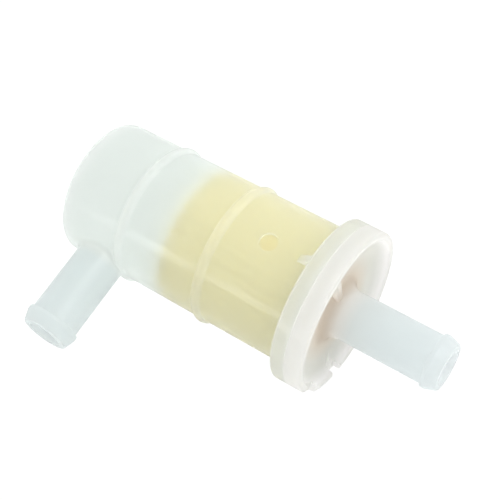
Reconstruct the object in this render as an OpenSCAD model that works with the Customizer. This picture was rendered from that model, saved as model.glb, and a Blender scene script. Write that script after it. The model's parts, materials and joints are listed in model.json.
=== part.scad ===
// In-line fuel filter with a side inlet: a moulded canister and a welded end cap around a
// pleated paper element. The axis of the canister is X, from the closed end to the outlet,
// the inlet points along -Y, and the origin is the centre of the closed end's outer face.

/* [Canister] */
// Outer diameter of the canister at its closed end
can_d = 24; // [21:0.5:30]
// Growth of the canister's radius from the closed end to the flange, the mould's draft
can_draft = 0.17; // [0:0.01:0.4]
// Length from the closed end's outer face to the back of the flange
can_len = 44.7; // [37:0.1:60]
// Wall thickness of the canister
can_wall = 1.3; // [1:0.1:1.6]
// Radius of the round on the outer edge of the closed end
end_round = 1.8; // [1.7:0.1:3]
// Spacing of the stiffening ribs, counted back from the flange
rib_pitch = 16; // [12:0.5:18]
// Height of a stiffening rib above the wall
rib_h = 0.56; // [0.3:0.02:0.8]
// Width of a stiffening rib where it meets the wall
rib_w = 1.9; // [1.7:0.1:2.6]

/* [Flanges] */
// How far both flanges stand out past the canister's wall
flange_w = 2.42; // [2:0.1:4]
// Thickness of the canister's flange
can_flange_t = 2.7; // [2.2:0.1:4]
// Thickness of the cap at its rim, from the weld to the front
cap_rim_t = 3.15; // [2.6:0.05:5]
// Width of the cap's upstanding rim, from the recess to the outer edge
rim_w = 1.4; // [1:0.1:2]
// Depth of the recess in the cap's face
recess_depth = 2.15; // [1.5:0.05:2.3]
// Radius of the round on the outer edges of the flanges
flange_round = 0.5; // [0.2:0.05:0.7]
// Width of the cap's weld tongue
tongue_w = 1; // [0.6:0.1:1.1]
// Height of the cap's weld tongue
tongue_h = 1.2; // [0.6:0.1:1.8]

/* [Hose tails] */
// Outer diameter of the hose tails
tail_d = 8.55; // [7:0.05:11]
// Diameter of the fuel way through the hose tails
bore_d = 6; // [4.5:0.1:6.2]
// How far the bead that holds the hose stands out past the tail
bead_h = 0.435; // [0.3:0.005:0.8]
// Distance from the bead's shoulder to the end of the tail
bead_len = 2.7; // [1.8:0.1:4]
// Length of the bead's cylindrical land
bead_land = 0.7; // [0.4:0.1:1.2]
// Length of the outlet tail in front of the cap's rim
outlet_len = 18.35; // [12:0.05:30]
// Length of the inlet tail beyond the canister's wall
inlet_len = 16.35; // [10:0.05:30]
// Distance from the closed end's outer face to the inlet's axis
inlet_x = 8.7; // [8:0.1:12]

/* [Filter element] */
// Distance from the closed end's outer face to the element
chamber_len = 19.4; // [17:0.1:24]
// Radial gap between the element and the canister's wall, which the fuel flows through
flow_gap = 0.58; // [0.4:0.02:1.2]
// Number of pleats in the paper
pleats = 30; // [24:1:32]
// Thickness of the paper
paper_t = 0.35; // [0.25:0.01:0.36]
// Thickness of the element's end discs
disc_t = 1; // [0.7:0.1:1.5]
// Thickness of the adhesive between a disc and the paper
glue_t = 0.4; // [0.2:0.05:0.8]
// Wall thickness of the perforated core and of the collar's hub
core_wall = 0.6; // [0.5:0.05:0.7]
// Length of the collar's hub on the cap's neck
hub_len = 3; // [2.6:0.1:5]
// Section diameter of the neck seal before it is squeezed
seal_d = 1.1; // [0.8:0.05:1.2]

/* [Hidden] */
$fn = 96;

// Clearances between the pieces
weld_gap = 0.05;   // tongue to groove
pilot_gap = 0.1;   // cap's pilot to the canister's bore
slip_gap = 0.08;   // collar's hub to the cap's neck
press_gap = 0.02;  // core to the hub and to the blind disc's plug
seat_gap = 0.2;    // collar disc to the cap's pilot
lug_gap = 0.1;     // centring lugs to the canister's wall
paper_gap = 0.1;   // paper to the core, and to the edge of the discs

// Small radii and overlaps
seam_chamfer = 0.15;  // on both flanges where they meet
lip_round = 0.3;      // on the end of a tail
inlet_root = 1.2;     // round at the foot of the inlet tail
outlet_root = 2.5;    // round at the foot of the outlet tail
rim_land = 0.2;       // least flat left on the rim between its two rounds
rim_round = min(0.5, rim_w - flange_round - rim_land);  // on the rim's inner edge
dish_w = 3;           // width of the hollow curve from the rim down to the recess's floor
sink = 0.4;           // how far a piece that is moulded on is sunk into its parent
past = 1;             // how far a cut runs past the face it opens

can_r = can_d / 2;
can_end_r = can_r + can_draft;
can_bore_r = can_end_r - can_wall;
flange_r = can_end_r + flange_w;
weld_x = can_len + can_flange_t;
rim_x = weld_x + cap_rim_t;
floor_x = rim_x - recess_depth;
recess_r = flange_r - rim_w;

tail_r = tail_d / 2;
bore_r = bore_d / 2;
bead_r = tail_r + bead_h;
outlet_tip_x = rim_x + outlet_len;
inlet_tip = can_r + inlet_len;

// Weld tongue, which starts just outside the canister's wall
tongue_step = 0.4;
tongue_in_r = can_end_r + tongue_step;
tongue_out_r = tongue_in_r + tongue_w;

// Cap's pilot in the canister's bore
pilot_h = 0.8;
pilot_x = weld_x - pilot_h;
pilot_r = can_bore_r - pilot_gap;

// Radii of the element, from the neck outwards
hub_in_r = tail_r + slip_gap;
hub_r = hub_in_r + core_wall;
core_in_r = hub_r + press_gap;
core_r = core_in_r + core_wall;
element_r = wall_in_r(chamber_len) - flow_gap;
paper_in_r = core_r + paper_gap;
paper_r = element_r - paper_gap;

// Places of the element's layers along X
blind_x = chamber_len + disc_t;
collar_x = pilot_x - seat_gap - disc_t;
paper_x0 = blind_x + glue_t;
paper_x1 = collar_x - glue_t;
neck_x = collar_x - hub_len;
plug_len = 2;
seal_x = collar_x - hub_len / 2;
seal_squeeze = 0.12;  // flattening of the seal's section on each side

// Windows in the core
window_rows = 5;
windows_round = 6;
window_bar = 1.4;  // height of the bars between two rows
window_w = 0.62;   // share of the core's circumference that is open

// Half widths of a pleat's outer fold and of the valley between two pleats
fold_w = 0.68;
valley_w = 0.12;

// Index marks on the +Z side: a wedge behind the flange and the gate's pocket
index_len = 2.4;
index_w = 1.4;
index_toe = 0.1;   // height of the wedge's low end above the wall
gate_r = 1.6;
gate_depth = 0.35;
gate_x = can_len - rib_pitch / 2;
web_w = 1.6;       // low web on the recess's floor, between the rim and the outlet
web_h = 1.2;

// Notches in the cap's rim for the welding tool: middle angle, width in degrees, depth
rim_notches = [[-114.5, 6, recess_depth], [-109.4, 4.4, recess_depth * 0.6], [-154, 22, 1.1]];

rib_xs = [can_len - rib_pitch, can_len - 2 * rib_pitch];
lug_angles = [45, 135, 225, 315];

// Outer and inner radius of the drafted canister at a distance from the closed end
function wall_r(x) = can_r + can_draft * x / can_len;
function wall_in_r(x) = wall_r(x) - can_wall;

// Points along an arc
function arc(centre, radius, from, to, steps = 6) = [
    for (k = [0:steps])
        let (a = from + (to - from) * k / steps)
            centre + radius * [cos(a), sin(a)]
];

// A stiffening rib's section: an arc that stands rib_h above the wall on a chord of rib_w
rib_arc_r = (pow(rib_w / 2, 2) + pow(rib_h, 2)) / (2 * rib_h);
rib_half_angle = asin(rib_w / 2 / rib_arc_r);
function rib_points(x) =
    arc([wall_r(x) + rib_h - rib_arc_r, x], rib_arc_r, -rib_half_angle, rib_half_angle, 8);

// Profiles below are drawn as [radius, distance along the axis] and turned about that axis
module about_x() {
    rotate([0, 90, 0]) rotate_extrude() children();
}

module about_inlet() {
    translate([inlet_x, 0, 0]) rotate([90, 0, 0]) rotate_extrude() children();
}

// A cylinder along X from one place to another
module rod_x(r, from, to) {
    translate([from, 0, 0]) rotate([0, 90, 0]) cylinder(r = r, h = to - from);
}

module ring_x(outer, inner, from, to) {
    difference() {
        rod_x(outer, from, to);
        rod_x(inner, from - past, to + past);
    }
}

// Profile of a hose tail, from its foot to its end, with the bead that holds the hose. The
// bead's taper runs tangent into the round on the tail's lip.
module tail_profile(foot, tip) {
    shoulder = tip - bead_len;
    lip = [tail_r - lip_round, tip - lip_round];
    to_land = [bead_r, shoulder + bead_land] - lip;
    taper_a = atan2(to_land[1], to_land[0]) + acos(lip_round / norm(to_land));
    polygon(concat(
        [[0, foot], [tail_r, foot], [tail_r, shoulder], [bead_r, shoulder]],
        [[bead_r, shoulder + bead_land]],
        arc(lip, lip_round, taper_a, 90, 4),
        [[0, tip]]
    ));
}

// Profile of the concave round at the foot of a tail, which starts on a face at height h
module root_profile(h, round_r) {
    polygon(concat(
        [[0, h - sink], [tail_r + round_r, h - sink]],
        arc([tail_r + round_r, h + round_r], round_r, 270, 180, 8),
        [[0, h + round_r]]
    ));
}

module can_outside() {
    about_x() polygon(concat(
        [[0, 0]],
        arc([can_r - end_round, end_round], end_round, -90, 0),
        rib_points(rib_xs[1]),
        rib_points(rib_xs[0]),
        [[can_end_r, can_len]],
        arc([flange_r - flange_round, can_len + flange_round], flange_round, -90, 0),
        [[flange_r, weld_x - seam_chamfer], [flange_r - seam_chamfer, weld_x], [0, weld_x]]
    ));
}

module can_inside() {
    inner_round = end_round - can_wall;
    about_x() polygon(concat(
        [[0, can_wall]],
        arc([can_r - end_round, end_round], inner_round, -90, 0, 4),
        [[can_bore_r, can_len], [can_bore_r, weld_x + past], [0, weld_x + past]]
    ));
}

module canister() {
    color([0.87, 0.93, 0.90, 0.6]) difference() {
        union() {
            can_outside();
            about_inlet() tail_profile(can_r - sink - can_wall / 2, inlet_tip);
            about_inlet() root_profile(can_r - sink, inlet_root);
            index_wedge();
        }
        can_inside();
        translate([inlet_x, 0, 0]) rotate([90, 0, 0]) cylinder(r = bore_r, h = inlet_tip + past);
        translate([gate_x, 0, wall_r(gate_x) - gate_depth]) cylinder(r = gate_r, h = past);
        ring_x(tongue_out_r + weld_gap, tongue_in_r - weld_gap,
               weld_x - tongue_h - weld_gap, weld_x + past);
    }
}

// Small wedge behind the flange that shows which way round the canister sits in its welding jig
module index_wedge() {
    foot = can_end_r - sink;
    rotate([90, 0, 0]) translate([0, 0, -index_w / 2]) linear_extrude(index_w) polygon([
        [can_len - index_len, foot],
        [can_len + sink, foot],
        [can_len + sink, flange_r - flange_round],
        [can_len, flange_r - flange_round],
        [can_len - index_len, can_end_r + index_toe]
    ]);
}

// Hollow curve from the rim down to the recess's floor, a quarter of an ellipse
dish_h = recess_depth - rim_round;
function recess_dish(steps = 8) = [
    for (k = [0:steps])
        let (a = 90 * k / steps)
            [recess_r - dish_w * (1 - cos(a)), floor_x + dish_h * (1 - sin(a))]
];

module cap_outside() {
    about_x() polygon(concat(
        [[0, pilot_x], [pilot_r, pilot_x], [pilot_r, weld_x]],
        [[flange_r - seam_chamfer, weld_x], [flange_r, weld_x + seam_chamfer]],
        arc([flange_r - flange_round, rim_x - flange_round], flange_round, 0, 90),
        arc([recess_r + rim_round, rim_x - rim_round], rim_round, 90, 180),
        recess_dish(),
        [[0, floor_x]]
    ));
}

// Low web across the recess on the index side, from the rim to the outlet's foot
module cap_web() {
    rotate([90, 0, 0]) translate([0, 0, -web_w / 2]) linear_extrude(web_w) polygon([
        [floor_x - sink, tail_r - sink],
        [floor_x - sink, recess_r + sink],
        [floor_x + web_h, recess_r + sink],
        [floor_x + web_h, tail_r - sink]
    ]);
}

// Sector that cuts one notch through the rim
module rim_notch(middle, width, depth) {
    far = flange_r + past;
    side = far * tan(width / 2);
    start = recess_r - dish_w;
    translate([rim_x - depth, 0, 0]) rotate([middle, 0, 0]) rotate([90, 0, 90])
        linear_extrude(depth + past) polygon([
            [start, -side * start / far],
            [far, -side],
            [far, side],
            [start, side * start / far]
        ]);
}

module end_cap() {
    color([0.91, 0.92, 0.89]) difference() {
        union() {
            cap_outside();
            ring_x(tongue_out_r, tongue_in_r, weld_x - tongue_h, weld_x + sink);
            about_x() tail_profile(neck_x, outlet_tip_x);
            about_x() root_profile(floor_x, outlet_root);
            cap_web();
        }
        for (n = rim_notches) rim_notch(n[0], n[1], n[2]);
        rod_x(bore_r, neck_x - past, outlet_tip_x + past);
        seal_groove();
    }
}

// Groove round the neck that holds the seal, open towards the hub
seal_half_w = seal_d / 2;
seal_mid_r = hub_in_r - seal_half_w + seal_squeeze;
seal_in_r = seal_mid_r - seal_half_w + seal_squeeze;
module seal_groove() {
    ring_x(tail_r + past, seal_in_r, seal_x - seal_half_w - slip_gap, seal_x + seal_half_w + slip_gap);
}

// The seal's round section, flattened where the neck and the hub squeeze it
module neck_seal() {
    color([0.16, 0.16, 0.17]) about_x() intersection() {
        translate([seal_mid_r, seal_x]) circle(r = seal_half_w);
        translate([seal_in_r, seal_x - seal_half_w]) square([hub_in_r - seal_in_r, seal_d]);
    }
}

// Outline of the folded paper seen along the axis, between two radii
module pleat_outline(tip, tip_half_w, valley, valley_half_w) {
    pitch = 360 / pleats;
    tip_a = asin(tip_half_w / tip);
    valley_a = asin(valley_half_w / valley);
    polygon([
        for (k = [0:pleats - 1])
            for (p = [[tip, -tip_a], [tip, tip_a],
                      [valley, pitch / 2 - valley_a], [valley, pitch / 2 + valley_a]])
                p[0] * [cos(k * pitch + p[1]), sin(k * pitch + p[1])]
    ]);
}

module paper_outer_face() {
    pleat_outline(paper_r, fold_w, paper_in_r + paper_t, valley_w);
}

module paper_inner_face() {
    pleat_outline(paper_r - paper_t, fold_w - paper_t, paper_in_r, valley_w + paper_t);
}

module filter_paper() {
    color([0.93, 0.87, 0.60]) translate([paper_x0, 0, 0]) rotate([0, 90, 0])
        linear_extrude(paper_x1 - paper_x0) difference() {
            paper_outer_face();
            paper_inner_face();
        }
}

// Bead of adhesive in the valley where the two ends of the paper meet, on the -Z side
module paper_seam() {
    half_pitch = 180 / pleats;
    fill_r = paper_r - 2 * paper_t;
    color([0.80, 0.66, 0.38]) translate([paper_x0, 0, 0]) rotate([0, 90, 0])
        linear_extrude(paper_x1 - paper_x0) difference() {
            intersection() {
                circle(r = fill_r);
                polygon([[0, 0], [paper_r, 0],
                         paper_r / cos(half_pitch) * [cos(2 * half_pitch), sin(2 * half_pitch)]]);
            }
            paper_outer_face();
        }
}

// Perforated tube that keeps the paper from folding inwards
module core_tube() {
    row_h = (collar_x - blind_x - hub_len - plug_len - window_bar) / window_rows;
    window_side = 2 * core_r * sin(180 / windows_round * window_w);
    color([0.90, 0.90, 0.86]) difference() {
        ring_x(core_r, core_in_r, blind_x, collar_x);
        for (row = [0:window_rows - 1])
            for (k = [0:windows_round - 1])
                rotate([k * 360 / windows_round, 0, 0])
                    translate([blind_x + plug_len + window_bar + row * row_h, 0, -window_side / 2])
                        cube([row_h - window_bar, core_r + past, window_side]);
    }
}

// Closed disc at the inlet end, with a plug in the core and lugs that centre it in the canister
module blind_disc() {
    color([0.88, 0.90, 0.86]) union() {
        rod_x(element_r, chamber_len, blind_x);
        rod_x(core_in_r - press_gap, blind_x - sink, blind_x + plug_len);
        for (a = lug_angles) rotate([a, 0, 0]) centring_lug();
    }
}

// A lug whose outer corners stay lug_gap clear of the wall
module centring_lug() {
    lug_w = 1.6;
    foot = element_r - sink;
    tip = sqrt(pow(wall_in_r(chamber_len) - lug_gap, 2) - pow(lug_w / 2, 2));
    translate([chamber_len, foot, -lug_w / 2]) cube([disc_t, tip - foot, lug_w]);
}

// Open disc at the outlet end, whose hub slips over the cap's neck
module collar_disc() {
    color([0.88, 0.90, 0.86]) difference() {
        union() {
            rod_x(element_r, collar_x, collar_x + disc_t);
            rod_x(hub_r, neck_x, collar_x + disc_t);
        }
        rod_x(hub_in_r, neck_x - past, collar_x + disc_t + past);
    }
}

module blind_end_adhesive() {
    color([0.84, 0.72, 0.45]) ring_x(paper_r, core_r + press_gap, blind_x, paper_x0);
}

module collar_end_adhesive() {
    color([0.84, 0.72, 0.45]) ring_x(paper_r, core_r + press_gap, paper_x1, collar_x);
}

canister();
end_cap();
filter_paper();
paper_seam();
core_tube();
blind_disc();
collar_disc();
blind_end_adhesive();
collar_end_adhesive();
neck_seal();
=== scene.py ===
"""The finished look of an in-line fuel filter: a milky moulded canister and cap with softly rounded
edges, the folded paper inside them, and a finish for every piece, on a white table in studio light."""

import json
import math

import bmesh
import bpy
from mathutils import Matrix, Quaternion, Vector


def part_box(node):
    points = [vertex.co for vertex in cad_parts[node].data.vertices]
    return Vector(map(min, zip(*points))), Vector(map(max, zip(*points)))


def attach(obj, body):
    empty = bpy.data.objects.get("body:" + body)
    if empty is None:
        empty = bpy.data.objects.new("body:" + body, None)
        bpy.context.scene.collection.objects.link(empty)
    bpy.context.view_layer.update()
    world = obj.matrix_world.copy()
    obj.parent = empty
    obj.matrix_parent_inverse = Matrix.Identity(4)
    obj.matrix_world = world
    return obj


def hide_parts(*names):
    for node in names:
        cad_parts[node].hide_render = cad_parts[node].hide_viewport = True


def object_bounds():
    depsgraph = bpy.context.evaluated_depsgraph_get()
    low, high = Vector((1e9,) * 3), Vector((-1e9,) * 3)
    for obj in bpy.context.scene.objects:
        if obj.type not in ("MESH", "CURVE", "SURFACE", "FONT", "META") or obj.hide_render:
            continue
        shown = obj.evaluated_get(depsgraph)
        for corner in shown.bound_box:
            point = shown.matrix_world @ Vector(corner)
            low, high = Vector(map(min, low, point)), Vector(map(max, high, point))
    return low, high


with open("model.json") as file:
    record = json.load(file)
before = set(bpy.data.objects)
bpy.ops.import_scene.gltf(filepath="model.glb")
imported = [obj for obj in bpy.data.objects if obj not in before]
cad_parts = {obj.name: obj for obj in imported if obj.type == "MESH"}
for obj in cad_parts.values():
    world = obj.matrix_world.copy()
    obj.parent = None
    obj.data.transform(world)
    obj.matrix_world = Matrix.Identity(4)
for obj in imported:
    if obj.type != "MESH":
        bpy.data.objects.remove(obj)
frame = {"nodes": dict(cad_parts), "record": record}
cad_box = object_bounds()

# Profiles and pieces are drawn in millimetres and brought to metres when they are finished
MM = 0.001
SIDES = 192        # facets round the canister and the cap
TAIL_SIDES = 128   # facets round a tail, a bore and the gate's pocket
TURN = 12          # degrees between two points of a small round
LONGEST = 0.8      # longest edge along a turned piece
AXIS = Vector((1, 0, 0))


def box_mm(node):
    low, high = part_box(node)
    return low / MM, high / MM


# ---------------------------------------------------------------- sizes from the frame
mounts = {mount["name"]: mount for mount in frame["record"]["mounts"]}
can_low, can_high = box_mm("canister")
cap_low, cap_high = box_mm("end_cap")
paper_low, paper_high = box_mm("filter_paper")
core_r = box_mm("core_tube")[1].z

flange_r = can_high.z
weld_x = can_high.x
inlet_tip = -can_low.y
neck_x = cap_low.x
outlet_tip = cap_high.x
bore_r = mounts["outlet"]["dims"]["r_mm"]
inlet_x = mounts["inlet"]["pos_m"][0] / MM
bead_r = mounts["outlet_bead"]["dims"]["r_mm"]
bead_land = mounts["outlet_bead"]["dims"]["length_mm"]
shoulder_x = mounts["outlet_bead"]["pos_m"][0] / MM - bead_land / 2
bead_len = outlet_tip - shoulder_x

# ---------------------------------------------------------------- sizes of the mouldings
can_r = 12
can_draft = 0.17
can_wall = 1.3
end_round = 1.8
flange_t = 2.7
rim_t = 3.15
recess_depth = 2.15
rim_w = 1.4
flange_round = 0.5
bead_h = 0.435
rib_pitch = 16
rib_w = 1.9
rib_h = 0.56
weld_gap = 0.02

can_len = weld_x - flange_t
can_end_r = can_r + can_draft
can_bore_r = can_end_r - can_wall
rim_x = weld_x + rim_t
floor_x = rim_x - recess_depth
recess_r = flange_r - rim_w
tail_r = bead_r - bead_h


def wall_r(x):
    """Outer radius of the drafted canister at a distance from its closed end."""
    return can_r + can_draft * x / can_len


# ---------------------------------------------------------------- modelling helpers
same_place = 1e-4    # points closer than this are one point
crease = 35          # degrees between two faces above which their edge stays sharp
sunk = 0.4           # how far a piece that is moulded on is sunk into its parent
past = 1             # how far a cut runs past the face it opens


def rounded(corners):
    """A line through corners given as (along, radius, round), each one rounded by its own radius."""
    line = []
    for before, here, after in zip([None] + corners[:-1], corners, corners[1:] + [None]):
        point = Vector(here[:2])
        if before is None or after is None or here[2] == 0:
            line.append(point)
            continue
        back = (Vector(before[:2]) - point).normalized()
        ahead = (Vector(after[:2]) - point).normalized()
        half = back.angle(ahead) / 2
        centre = point + (back + ahead).normalized() * here[2] / math.sin(half)
        start = point + back * here[2] / math.tan(half) - centre
        sweep = start.angle_signed(point + ahead * here[2] / math.tan(half) - centre)
        steps = max(2, math.ceil(math.degrees(abs(sweep)) / TURN))
        for step in range(steps + 1):
            line.append(centre + Matrix.Rotation(-sweep * step / steps, 2) @ start)
    return line


def spaced(line, longest):
    """The same line with its long straight stretches divided, so that faces stay nearly square."""
    points = [line[0]]
    for start, end in zip(line, line[1:]):
        parts = max(1, math.ceil((end - start).length / longest))
        points += [start.lerp(end, part / parts) for part in range(1, parts + 1)]
    return points


def turned(line, loop=False):
    """A bmesh of a line of (along, radius) points turned about the filter's axis."""
    bm = bmesh.new()
    verts = [bm.verts.new((along, 0, radius)) for along, radius in line]
    edges = [bm.edges.new(pair) for pair in zip(verts, verts[1:] + (verts[:1] if loop else []))]
    bmesh.ops.spin(bm, geom=verts + edges, cent=(0, 0, 0), axis=AXIS, dvec=(0, 0, 0),
                   angle=math.tau, steps=SIDES, use_merge=True)
    bmesh.ops.remove_doubles(bm, verts=bm.verts, dist=same_place)
    bmesh.ops.recalc_face_normals(bm, faces=bm.faces)
    return bm


def soften(bm, radius):
    """Rounds every edge of a small piece."""
    bmesh.ops.bevel(bm, geom=bm.edges[:], offset=radius, segments=4, profile=0.5, affect="EDGES",
                    material=-1)


def only(kind, made):
    """The elements of one kind among those that an operator has made."""
    return [item for item in made["geom"] if isinstance(item, kind)]


def prism(corners, along):
    """A bmesh of a flat face through corners, drawn out along a vector."""
    bm = bmesh.new()
    face = bm.faces.new([bm.verts.new(corner) for corner in corners])
    made = bmesh.ops.extrude_face_region(bm, geom=[face])
    bmesh.ops.translate(bm, verts=only(bmesh.types.BMVert, made), vec=along)
    bmesh.ops.recalc_face_normals(bm, faces=bm.faces)
    return bm


def to_object(bm, name):
    mesh = bpy.data.meshes.new(name)
    bm.to_mesh(mesh)
    bm.free()
    piece = bpy.data.objects.new(name, mesh)
    bpy.context.scene.collection.objects.link(piece)
    return piece


def apply_modifiers(piece):
    evaluated = piece.evaluated_get(bpy.context.evaluated_depsgraph_get())
    mesh = bpy.data.meshes.new_from_object(evaluated)
    piece.modifiers.clear()
    piece.data = mesh


def combine(piece, tool, operation):
    """Joins a tool to a piece, or cuts it out of the piece, and removes the tool."""
    boolean = piece.modifiers.new("combine", "BOOLEAN")
    boolean.operation = operation
    boolean.object = tool
    boolean.solver = "EXACT"
    apply_modifiers(piece)
    bpy.data.objects.remove(tool)


def finish_piece(piece, material, stands_for):
    """Brings a piece from millimetres to metres, smooths its shading and puts it on the frame."""
    piece.data.transform(Matrix.Scale(MM, 4))
    piece.data.set_sharp_from_angle(angle=math.radians(crease))
    piece.data.polygons.foreach_set("use_smooth", [True] * len(piece.data.polygons))
    piece.data.materials.clear()
    piece.data.materials.append(material)
    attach(piece, "root")
    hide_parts(stands_for)
    return piece


# ---------------------------------------------------------------- hose tails
lip_round = 0.3
lip_inset = 0.21     # how much narrower than the tail the lip is
tail_edge = 0.12


def tail_corners(tip):
    """Corners of a hose tail's outside, from behind its bead to the lip."""
    shoulder = tip - bead_len
    return [
        (shoulder, tail_r, tail_edge),
        (shoulder, bead_r, tail_edge),
        (shoulder + bead_land, bead_r, tail_edge),
        (tip, tail_r - lip_inset, lip_round),
        (tip, bore_r, tail_edge),
    ]


# ---------------------------------------------------------------- canister
inlet_root = 1.2
root_steps = 9
root_sunk = 0.02     # how far the round at the inlet's foot runs into the wall
foot_depth = 1.1     # how far the inlet's foot reaches into the wall
foot_inset = 1       # how much narrower it is there
rib_foot = 0.35      # round where a rib meets the wall
flange_foot = 0.3    # round where the flange meets the wall
gate_x = can_len - rib_pitch / 2
gate_r = 1.6
gate_depth = 0.35
index_len = 2.4
index_w = 1.4
index_toe = 0.1      # height of the wedge's low end above the wall
index_round = 0.25
tongue_h = 1.2
tongue_w = 1
tongue_step = 0.4
tongue_in_r = can_end_r + tongue_step
tongue_out_r = tongue_in_r + tongue_w
seam_chamfer = 0.04


def rib_corners(x):
    half = rib_w / 2
    crest_round = (half - rib_h) / (math.sqrt(2) - 1)   # takes a roof of 45 degrees down to rib_h
    return [
        (x - half, wall_r(x), rib_foot),
        (x, wall_r(x) + half, crest_round),
        (x + half, wall_r(x), rib_foot),
    ]


def canister_body():
    inner_round = end_round - can_wall
    outside = rounded([
        (0, 0, 0),
        (0, can_r, end_round),
        *rib_corners(can_len - 2 * rib_pitch),
        *rib_corners(can_len - rib_pitch),
        (can_len, can_end_r, flange_foot),
        (can_len, flange_r, flange_round),
        (weld_x - seam_chamfer, flange_r, 0),
        (weld_x, flange_r - seam_chamfer, 0),
        (weld_x, tongue_out_r + weld_gap, 0),
        (weld_x - tongue_h - weld_gap, tongue_out_r + weld_gap, 0),
        (weld_x - tongue_h - weld_gap, tongue_in_r - weld_gap, 0),
        (weld_x, tongue_in_r - weld_gap, 0),
        (weld_x, can_bore_r, 0),
        (can_len, can_bore_r, 0),
        (can_wall, can_r - can_wall, inner_round),
        (can_wall, 0, 0),
    ])
    return to_object(turned(spaced(outside, LONGEST)), "canister_shell")


def root_point(turn, share):
    """A point of the round where the inlet meets the wall. turn is the angle about the inlet, and
    share goes from 0 on the inlet to 1 on the wall."""
    reach = tail_r + inlet_root
    side = reach * math.sin(turn)
    to_axis = wall_r(inlet_x) - root_sunk + inlet_root
    centre = Vector((inlet_x + reach * math.cos(turn), -math.sqrt(to_axis ** 2 - side ** 2), side))
    to_tail = Vector((-math.cos(turn), 0, -math.sin(turn)))
    to_wall = Vector((0, -centre.y, -centre.z)).normalized()
    return centre + to_tail.slerp(to_wall, share) * inlet_root


def ring_point(turn, distance, radius):
    return Vector((inlet_x + radius * math.cos(turn), -distance, radius * math.sin(turn)))


def inlet_tail():
    """The inlet's solid outside, ring by ring from its foot in the wall to its lip."""
    straight_from = wall_r(inlet_x) + inlet_root + sunk
    line = rounded([(straight_from, tail_r, 0), *tail_corners(inlet_tip)])
    rings = [lambda turn, step=step: root_point(turn, 1 - step / root_steps)
             for step in range(root_steps + 1)]
    rings += [lambda turn, point=point: ring_point(turn, point[0], point[1])
              for point in spaced(line, LONGEST)]
    foot_r = tail_r - foot_inset
    bm = bmesh.new()
    circle = bmesh.ops.create_circle(bm, cap_ends=True, segments=TAIL_SIDES, radius=foot_r)
    for vert in circle["verts"]:
        turn = math.atan2(vert.co.y, vert.co.x)
        vert.co = ring_point(turn, wall_r(inlet_x) - foot_depth, foot_r)
    edges = bm.edges[:]
    for place in rings:
        made = bmesh.ops.extrude_edge_only(bm, edges=edges)
        for vert in only(bmesh.types.BMVert, made):
            vert.co = place(math.atan2(vert.co.z, vert.co.x - inlet_x))
        edges = [edge for edge in only(bmesh.types.BMEdge, made) if edge.is_boundary]
    bmesh.ops.contextual_create(bm, geom=edges)
    bmesh.ops.recalc_face_normals(bm, faces=bm.faces)
    return to_object(bm, "inlet")


def cylinder(radius, start, end):
    """A solid cylinder between two points."""
    bm = bmesh.new()
    along = end - start
    turn = along.to_track_quat("Z", "Y").to_matrix().to_4x4()
    bmesh.ops.create_cone(bm, cap_ends=True, segments=TAIL_SIDES, radius1=radius, radius2=radius,
                          depth=along.length, matrix=Matrix.Translation((start + end) / 2) @ turn)
    return to_object(bm, "tool")


def index_wedge():
    """The small wedge behind the flange on the +Z side."""
    side = [
        (can_len - index_len, can_end_r - sunk),
        (can_len + sunk, can_end_r - sunk),
        (can_len + sunk, flange_r - flange_round),
        (can_len, flange_r - flange_round),
        (can_len - index_len, can_end_r + index_toe),
    ]
    bm = prism([(x, -index_w / 2, z) for x, z in side], (0, index_w, 0))
    soften(bm, index_round)
    return to_object(bm, "wedge")


def canister(material):
    piece = canister_body()
    combine(piece, inlet_tail(), "UNION")
    combine(piece, index_wedge(), "UNION")
    bore = cylinder(bore_r, Vector((inlet_x, past - can_bore_r, 0)),
                    Vector((inlet_x, -inlet_tip - past, 0)))
    combine(piece, bore, "DIFFERENCE")
    gate_z = wall_r(gate_x)
    pocket = cylinder(gate_r, Vector((gate_x, 0, gate_z - gate_depth)),
                      Vector((gate_x, 0, gate_z + past)))
    combine(piece, pocket, "DIFFERENCE")
    return finish_piece(piece, material, "canister")


# ---------------------------------------------------------------- cap
pilot_len = 0.8
pilot_gap = 0.1      # pilot to the canister's bore
pilot_x = weld_x - pilot_len
pilot_r = can_bore_r - pilot_gap
edge_round = 0.3     # on the ends of the neck and of the pilot
outlet_root = 2.5
rim_round = 0.5
dish_w = 3           # the hollow curve from the rim down to the recess's floor
dish_h = recess_depth - rim_round
web_w = 1.6
web_h = 1.2
web_round = 0.5
groove_round = 0.08
seal_half = 0.63     # half width of the seal's groove
seal_in_r = 3.49
seal_x = 43.9

# Notches in the rim: middle angle and width in degrees, depth from the rim's front
rim_notches = [(-114.5, 6, recess_depth), (-109.4, 4.4, recess_depth * 0.6), (-154, 22, 1.1)]


def dish_corners():
    """The hollow curve from the rim down to the recess's floor, a quarter of an ellipse."""
    steps = 12
    turns = [math.pi / 2 * step / steps for step in range(steps + 1)]
    return [(floor_x + dish_h * (1 - math.sin(turn)), recess_r - dish_w * (1 - math.cos(turn)), 0)
            for turn in turns]


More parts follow.
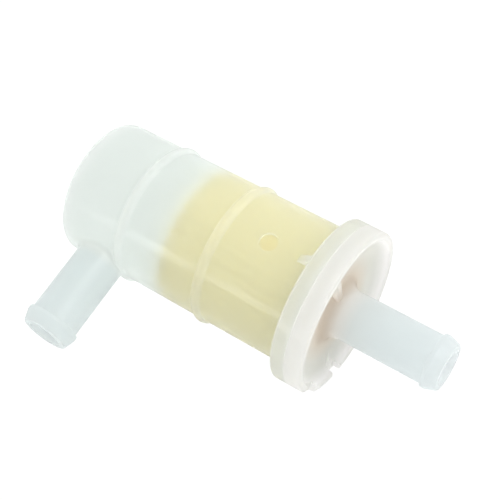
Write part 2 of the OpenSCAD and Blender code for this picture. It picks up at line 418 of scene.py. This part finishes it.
def cap_body():
    line = rounded([
        (weld_x, bore_r, 0),
        (neck_x, bore_r, tail_edge),
        (neck_x, tail_r, edge_round),
        (seal_x - seal_half, tail_r, groove_round),
        (seal_x - seal_half, seal_in_r, groove_round),
        (seal_x + seal_half, seal_in_r, groove_round),
        (seal_x + seal_half, tail_r, groove_round),
        (pilot_x, tail_r, edge_round),
        (pilot_x, pilot_r, edge_round),
        (weld_x + weld_gap, pilot_r, 0),
        (weld_x + weld_gap, tongue_in_r, 0),
        (weld_x - tongue_h, tongue_in_r, tail_edge),
        (weld_x - tongue_h, tongue_out_r, tail_edge),
        (weld_x + weld_gap, tongue_out_r, 0),
        (weld_x + weld_gap, flange_r - seam_chamfer, 0),
        (weld_x + weld_gap + seam_chamfer, flange_r, 0),
        (rim_x, flange_r, flange_round),
        (rim_x, recess_r, rim_round),
        *dish_corners(),
        (floor_x, tail_r, outlet_root),
        *tail_corners(outlet_tip),
        (weld_x + past, bore_r, 0),
    ])
    return to_object(turned(spaced(line, LONGEST), loop=True), "end_cap_shell")


def cap_web():
    """The low web across the recess on the index side, from the rim to the outlet."""
    side = [
        (floor_x - sunk, tail_r - sunk),
        (floor_x - sunk, recess_r + sunk),
        (floor_x + web_h, recess_r + sunk),
        (floor_x + web_h, tail_r - sunk),
    ]
    bm = prism([(x, -web_w / 2, z) for x, z in side], (0, web_w, 0))
    soften(bm, web_round)
    return to_object(bm, "web")


def notch_tool(middle, width, depth):
    """A sector that cuts one notch through the cap's rim."""
    far = flange_r + past
    near = recess_r - dish_w
    half = math.radians(width) / 2
    corners = [(near, -near * math.tan(half)), (far, -far * math.tan(half)),
               (far, far * math.tan(half)), (near, near * math.tan(half))]
    bm = prism([(rim_x - depth, y, z) for y, z in corners], (depth + past, 0, 0))
    bmesh.ops.rotate(bm, verts=bm.verts, cent=(0, 0, 0),
                     matrix=Matrix.Rotation(math.radians(middle), 3, AXIS))
    return to_object(bm, "notch")


def end_cap(material):
    piece = cap_body()
    combine(piece, cap_web(), "UNION")
    for middle, width, depth in rim_notches:
        combine(piece, notch_tool(middle, width, depth), "DIFFERENCE")
    return finish_piece(piece, material, "end_cap")


# ---------------------------------------------------------------- paper
pleats = 30
paper_t = 0.35
paper_gap = 0.1     # paper to the core
paper_steps = 12    # faces along a pleat
fold_out = 0.5      # radius of an outer fold's centre line
fold_in = 0.28
fold_steps = 4      # points of a fold on each side of its middle


def paper_fold_line():
    """Centre line of the folded paper, as (y, z) points round the core."""
    tip = paper_high.z - paper_t / 2 - fold_out
    valley = core_r + paper_gap + paper_t / 2 + fold_in
    pitch = math.tau / pleats
    turns = [step * math.pi / 2 / fold_steps for step in range(-fold_steps, fold_steps + 1)]
    outer = [Vector((tip + fold_out * math.cos(turn), fold_out * math.sin(turn))) for turn in turns]
    inner = [Vector((valley - fold_in * math.cos(turn), fold_in * math.sin(turn))) for turn in turns]
    line = []
    for pleat in range(pleats):
        middle = pleat * pitch
        line += [Matrix.Rotation(middle, 2) @ point for point in outer]
        line += [Matrix.Rotation(middle + pitch / 2, 2) @ point for point in inner]
    return line


def filter_paper(material):
    bm = bmesh.new()
    line = paper_fold_line()
    verts = [bm.verts.new((paper_low.x, y, z)) for y, z in line]
    edges = [bm.edges.new(pair) for pair in zip(verts, verts[1:] + verts[:1])]
    step = (paper_high.x - paper_low.x) / paper_steps
    for _ in range(paper_steps):
        made = bmesh.ops.extrude_edge_only(bm, edges=edges)
        bmesh.ops.translate(bm, verts=only(bmesh.types.BMVert, made), vec=(step, 0, 0))
        edges = [edge for edge in only(bmesh.types.BMEdge, made) if edge.is_boundary]
    bmesh.ops.recalc_face_normals(bm, faces=bm.faces)
    piece = to_object(bm, "pleated_paper")
    solidify = piece.modifiers.new("thickness", "SOLIDIFY")
    solidify.thickness = paper_t
    solidify.offset = 0
    apply_modifiers(piece)
    return finish_piece(piece, material, "filter_paper")


# ---------------------------------------------------------------- shading
wall_haze = 0.62     # share of the canister's surface that scatters light in every direction
gate_haze = 0.35     # the same in the gate's pocket
cap_haze = 0.7
thick_clear = 0.6    # share of the light that passes through a thick part
milk_depth = 1.5     # how deep the light goes into the plastic
coat_rough = 0.14    # of the moulded surface over the milkier inside
wall_cloud = 0.35    # milkiness of the plain wall, where 1 is the milkiest
whitest_h = 1.2      # height above the wall from which the plastic is at its milkiest
gate_edge = 0.3      # width over which the gate's pocket turns clearer
inlet_blend = 1.6    # distance over which the inlet turns blue
painted_shade_share = 0.4     # strongest share of the painted warm shade round the outlet's foot
painted_shade_from = 5        # radius from which the painted shade starts to fade
painted_shade_blend = 5       # distance over which it fades outwards
floor_blend = 1.7    # distance over which it fades from the recess's floor to the rim
outlet_blend = 2.5   # distance over which the outlet turns blue


class Value:
    """A shader value that can be used in sums and products."""

    def __init__(self, shading, socket):
        self.shading = shading
        self.socket = socket

    def math(self, operation, first, second):
        node = self.shading.node("ShaderNodeMath", {"operation": operation}, {0: first, 1: second})
        return Value(self.shading, node.outputs[0])

    def __add__(self, other):
        return self.math("ADD", self, other)

    def __radd__(self, other):
        return self.math("ADD", other, self)

    def __sub__(self, other):
        return self.math("SUBTRACT", self, other)

    def __rsub__(self, other):
        return self.math("SUBTRACT", other, self)

    def __mul__(self, other):
        return self.math("MULTIPLY", self, other)

    def __rmul__(self, other):
        return self.math("MULTIPLY", other, self)

    def root(self):
        return self.math("SQRT", self, 0)

    def clamped(self):
        return self.math("MAXIMUM", self.math("MINIMUM", self, 1), 0)

    def fade(self, start, length):
        """0 up to start, and from there growing to 1 over a length."""
        return ((self - start) * (1 / length)).clamped()


class Shading:
    """One material and the nodes that are added to it."""

    def __init__(self, name):
        self.material = bpy.data.materials.new(name)
        self.material.use_nodes = True
        self.nodes = self.material.node_tree.nodes
        self.nodes.clear()
        self.place = self.node("ShaderNodeTexCoord").outputs["Object"]

    def node(self, kind, settings=None, inputs=None):
        node = self.nodes.new(kind)
        for name, value in (settings or {}).items():
            setattr(node, name, value)
        for name, value in (inputs or {}).items():
            if isinstance(value, Value):
                value = value.socket
            if isinstance(value, bpy.types.NodeSocket):
                self.material.node_tree.links.new(value, node.inputs[name])
            else:
                node.inputs[name].default_value = value
        return node

    def places(self):
        """The x, y and z of a point in millimetres."""
        place = self.node("ShaderNodeSeparateXYZ", None, {0: self.place})
        return [Value(self, place.outputs[axis]) * (1 / MM) for axis in range(3)]

    def noise(self, scale, detail=3, stretch=(1, 1, 1)):
        """Noise from 0 to 1 about the middle, with a number of patches per millimetre."""
        mapping = self.node("ShaderNodeMapping", None, {"Vector": self.place, "Scale": stretch})
        noise = self.node("ShaderNodeTexNoise", None, {
            "Vector": mapping.outputs[0], "Scale": scale / MM, "Detail": detail})
        return Value(self, noise.outputs["Fac"])

    def mix(self, share, first, second):
        """A mix of two colours, which are the node's inputs 6 and 7. Its output 2 is the mix."""
        node = self.node("ShaderNodeMix", {"data_type": "RGBA"},
                         {"Factor": share, 6: first, 7: second})
        return node.outputs[2]

    def blend(self, share, first, second):
        node = self.node("ShaderNodeMixShader", None, {0: share, 1: first, 2: second})
        return node.outputs[0]

    def bump(self, height, distance):
        node = self.node("ShaderNodeBump", None, {"Height": height, "Distance": distance * MM})
        return node.outputs[0]

    def output(self, shader):
        self.node("ShaderNodeOutputMaterial", None, {"Surface": shader})
        return self.material


class Milk(Shading):
    """Natural plastic that light passes through, blurred."""

    def __init__(self, name):
        super().__init__(name)
        self.cloud = self.noise(0.12)
        self.grain = self.bump(self.noise(3.0, 2), 0.01)
        self.roughness = 0.8 + 0.1 * self.cloud

    def skin(self, low, high, clear, spread, ior=1.3, roughness=None):
        """The plastic in tints from low to high. clear is the share of the light that passes, and
        spread is the share of the surface that scatters what passes in every direction."""
        solid = self.node("ShaderNodeBsdfPrincipled", None, {
            "Base Color": self.mix(self.cloud, (*low, 1), (*high, 1)),
            "Roughness": self.roughness if roughness is None else roughness,
            "IOR": ior,
            "Transmission Weight": clear,
            "Subsurface Weight": 1.0,
            "Subsurface Radius": (1.0, 1.0, 1.0),
            "Subsurface Scale": milk_depth * MM,
            "Coat Weight": 1.0,
            "Coat Roughness": coat_rough,
            "Normal": self.grain,
        })
        middle = [(first + second) / 2 for first, second in zip(low, high)]
        haze = self.node("ShaderNodeBsdfTranslucent", None, {
            "Color": (*middle, 1), "Normal": self.grain})
        return self.blend(spread, solid.outputs[0], haze.outputs[0])


def canister_material():
    """The canister's milky plastic, which is whiter where it is thicker, on the ribs and the flange,
    and a little blue on the inlet. It is clearest in the gate's pocket and on the wall under it."""
    milk = Milk("canister_milk")
    x, y, z = milk.places()
    radius = (y * y + z * z).root()
    above_wall = radius - (can_r + can_draft / can_len * x)
    thick = (wall_cloud + above_wall * ((1 - wall_cloud) / whitest_h)).clamped()
    from_gate = ((x - gate_x) * (x - gate_x) + y * y).root()
    in_gate = (1 - from_gate.fade(gate_r - gate_edge, gate_edge)) * z.fade(0, 1)
    on_inlet = (0 - y).fade(can_r, inlet_blend) * (1 - x.fade(inlet_x + can_r, 1))
    wall = milk.skin((0.91, 0.938, 0.926), (0.935, 0.957, 0.947), 1.0, wall_haze)
    pocket = milk.skin((0.92, 0.92, 0.85), (0.93, 0.93, 0.86), 1.0, gate_haze, roughness=0.65)
    white = milk.skin((0.905, 0.915, 0.888), (0.93, 0.94, 0.913), thick_clear, wall_haze, ior=1.35)
    blue = milk.skin((0.85, 0.885, 0.883), (0.87, 0.905, 0.903), thick_clear, wall_haze, ior=1.35)
    thin_part = milk.blend(in_gate, wall, pocket)
    thick_part = milk.blend(on_inlet, white, blue)
    return milk.output(milk.blend(thick, thin_part, thick_part))


def cap_material():
    """The cap's plastic: whiter than the canister's, with a painted warm shade round the outlet's foot
    that stands for the recess's shadow and for the glue and paper seen through the cap, and a little
    blue on the outlet."""
    milk = Milk("cap_milk")
    x, y, z = milk.places()
    radius = (y * y + z * z).root()
    near_root = 1 - radius.fade(painted_shade_from, painted_shade_blend)
    on_floor = (0 - x).fade(-rim_x, floor_blend)
    on_outlet = x.fade(rim_x, outlet_blend)
    white = milk.skin((0.95, 0.946, 0.935), (0.97, 0.966, 0.956), thick_clear, cap_haze)
    # Painted shade: a darker warm tint for the shadow in the recess round the outlet's foot, and for
    # the glue and paper seen through the cap
    warm_shade = milk.skin((0.86, 0.71, 0.57), (0.88, 0.73, 0.59), thick_clear, cap_haze)
    blue = milk.skin((0.865, 0.897, 0.899), (0.885, 0.913, 0.915), thick_clear, cap_haze)
    face = milk.blend(near_root * on_floor * painted_shade_share, white, warm_shade)
    return milk.output(milk.blend(on_outlet, face, blue))


def paper_material():
    shading = Shading("resin_paper")
    fibre = shading.noise(1.2, 6, (0.4, 1, 1))
    shader = shading.node("ShaderNodeBsdfPrincipled", None, {
        "Base Color": shading.mix(fibre, (0.925, 0.79, 0.36, 1), (0.945, 0.85, 0.48, 1)),
        "Roughness": 0.9,
        "Normal": shading.bump(fibre, 0.05),
    })
    return shading.output(shader.outputs[0])


def plain_moulding(name, light, deep, roughness):
    shading = Shading(name)
    cloud = shading.noise(0.3)
    shader = shading.node("ShaderNodeBsdfPrincipled", None, {
        "Base Color": shading.mix(cloud, deep, light),
        "Roughness": roughness + 0.1 * cloud,
        "Normal": shading.bump(shading.noise(2.5), 0.01),
    })
    return shading.output(shader.outputs[0])


# ---------------------------------------------------------------- build
canister(canister_material())
end_cap(cap_material())
filter_paper(paper_material())

# Light colour, deep colour and roughness of the pieces that keep their CAD shape
natural = ((0.90, 0.92, 0.88, 1), (0.85, 0.87, 0.83, 1), 0.4)
amber = ((0.84, 0.72, 0.45, 1), (0.78, 0.64, 0.36, 1), 0.3)
finishes = {
    "paper_seam": ((0.80, 0.66, 0.38, 1), (0.74, 0.58, 0.30, 1), 0.3),
    "core_tube": ((0.90, 0.90, 0.86, 1), (0.84, 0.84, 0.80, 1), 0.4),
    "blind_disc": natural,
    "collar_disc": natural,
    "blind_end_adhesive": amber,
    "collar_end_adhesive": amber,
    "neck_seal": ((0.03, 0.03, 0.032, 1), (0.02, 0.02, 0.022, 1), 0.6),
}
for node, (light, deep, roughness) in finishes.items():
    for slot in frame["nodes"][node].material_slots:
        slot.material = plain_moulding(node + "_finish", light, deep, roughness)


# ---------------------------------------------------------------- stage
floor_half = 2000    # half the floor's width
floor_glow = 0.6     # light the floor gives to the filter
floor_white = 1.05   # light it gives to the camera


def floor():
    """A white table that shows no shadow, and that lights the filter less from below than the
    lamps do from above."""
    bm = bmesh.new()
    bmesh.ops.create_grid(bm, x_segments=1, y_segments=1, size=floor_half)
    bmesh.ops.translate(bm, verts=bm.verts, vec=(0, 0, -flange_r))
    piece = to_object(bm, "floor")
    piece.data.transform(Matrix.Scale(MM, 4))
    shading = Shading("white_table")
    shader = shading.node("ShaderNodeBsdfPrincipled", None, {
        "Base Color": (0.2, 0.2, 0.2, 1), "Roughness": 0.8,
        "Emission Color": (1, 1, 1, 1), "Emission Strength": floor_glow})
    white = shading.node("ShaderNodeEmission", None, {
        "Color": (1, 1, 1, 1), "Strength": floor_white})
    seen = shading.node("ShaderNodeLightPath").outputs["Is Camera Ray"]
    table = shading.blend(seen, shader.outputs[0], white.outputs[0])
    piece.data.materials.append(shading.output(table))


def softbox(name, direction, distance, size, power):
    """A rectangular lamp in a direction from the middle of the filter, facing it."""
    lamp = bpy.data.lights.new(name, "AREA")
    lamp.shape = "RECTANGLE"
    lamp.size, lamp.size_y = size
    lamp.energy = power
    holder = bpy.data.objects.new(name, lamp)
    bpy.context.scene.collection.objects.link(holder)
    middle = (cad_box[0] + cad_box[1]) / 2
    away = Vector(direction).normalized()
    holder.location = middle + away * distance
    holder.rotation_euler = away.to_track_quat("Z", "Y").to_euler()


def white_room(strength):
    """Soft light from all round, in front of a white background."""
    world = bpy.data.worlds.new("white_room")
    bpy.context.scene.world = world
    world.use_nodes = True
    tree = world.node_tree
    seen = tree.nodes.new("ShaderNodeLightPath")
    power = tree.nodes.new("ShaderNodeMapRange")
    power.inputs["To Min"].default_value = strength
    power.inputs["To Max"].default_value = 1
    tree.links.new(seen.outputs["Is Camera Ray"], power.inputs["Value"])
    background = tree.nodes["Background"]
    background.inputs["Color"].default_value = (1, 1, 1, 1)
    tree.links.new(power.outputs[0], background.inputs["Strength"])


def camera(aim, azimuth, elevation, roll, distance, focal):
    """A camera that looks at a place, from an azimuth that is counted from -Y towards +X."""
    lens = bpy.data.cameras.new("camera")
    lens.lens = focal
    lens.clip_start = 0.01
    holder = bpy.data.objects.new("camera", lens)
    bpy.context.scene.collection.objects.link(holder)
    level = Vector((math.sin(azimuth), -math.cos(azimuth), 0))
    away = level * math.cos(elevation) + Vector((0, 0, math.sin(elevation)))
    turn = away.to_track_quat("Z", "Y") @ Quaternion((0, 0, 1), roll)
    holder.matrix_world = Matrix.Translation(Vector(aim) + away * distance) @ turn.to_matrix().to_4x4()
    bpy.context.scene.camera = holder


floor()
white_room(strength=0.95)
softbox("key", direction=(-0.37, -0.88, 0.30), distance=0.5, size=(0.16, 0.10), power=0.25)
softbox("top", direction=(0.6, 0.5, 1.0), distance=0.6, size=(0.5, 0.5), power=2.2)
camera(aim=(0.030, 0.002, 0), azimuth=math.radians(46.385), elevation=math.radians(60.989),
       roll=math.radians(-14.753), distance=0.20809, focal=88.94)
bpy.context.scene.view_settings.view_transform = "Standard"
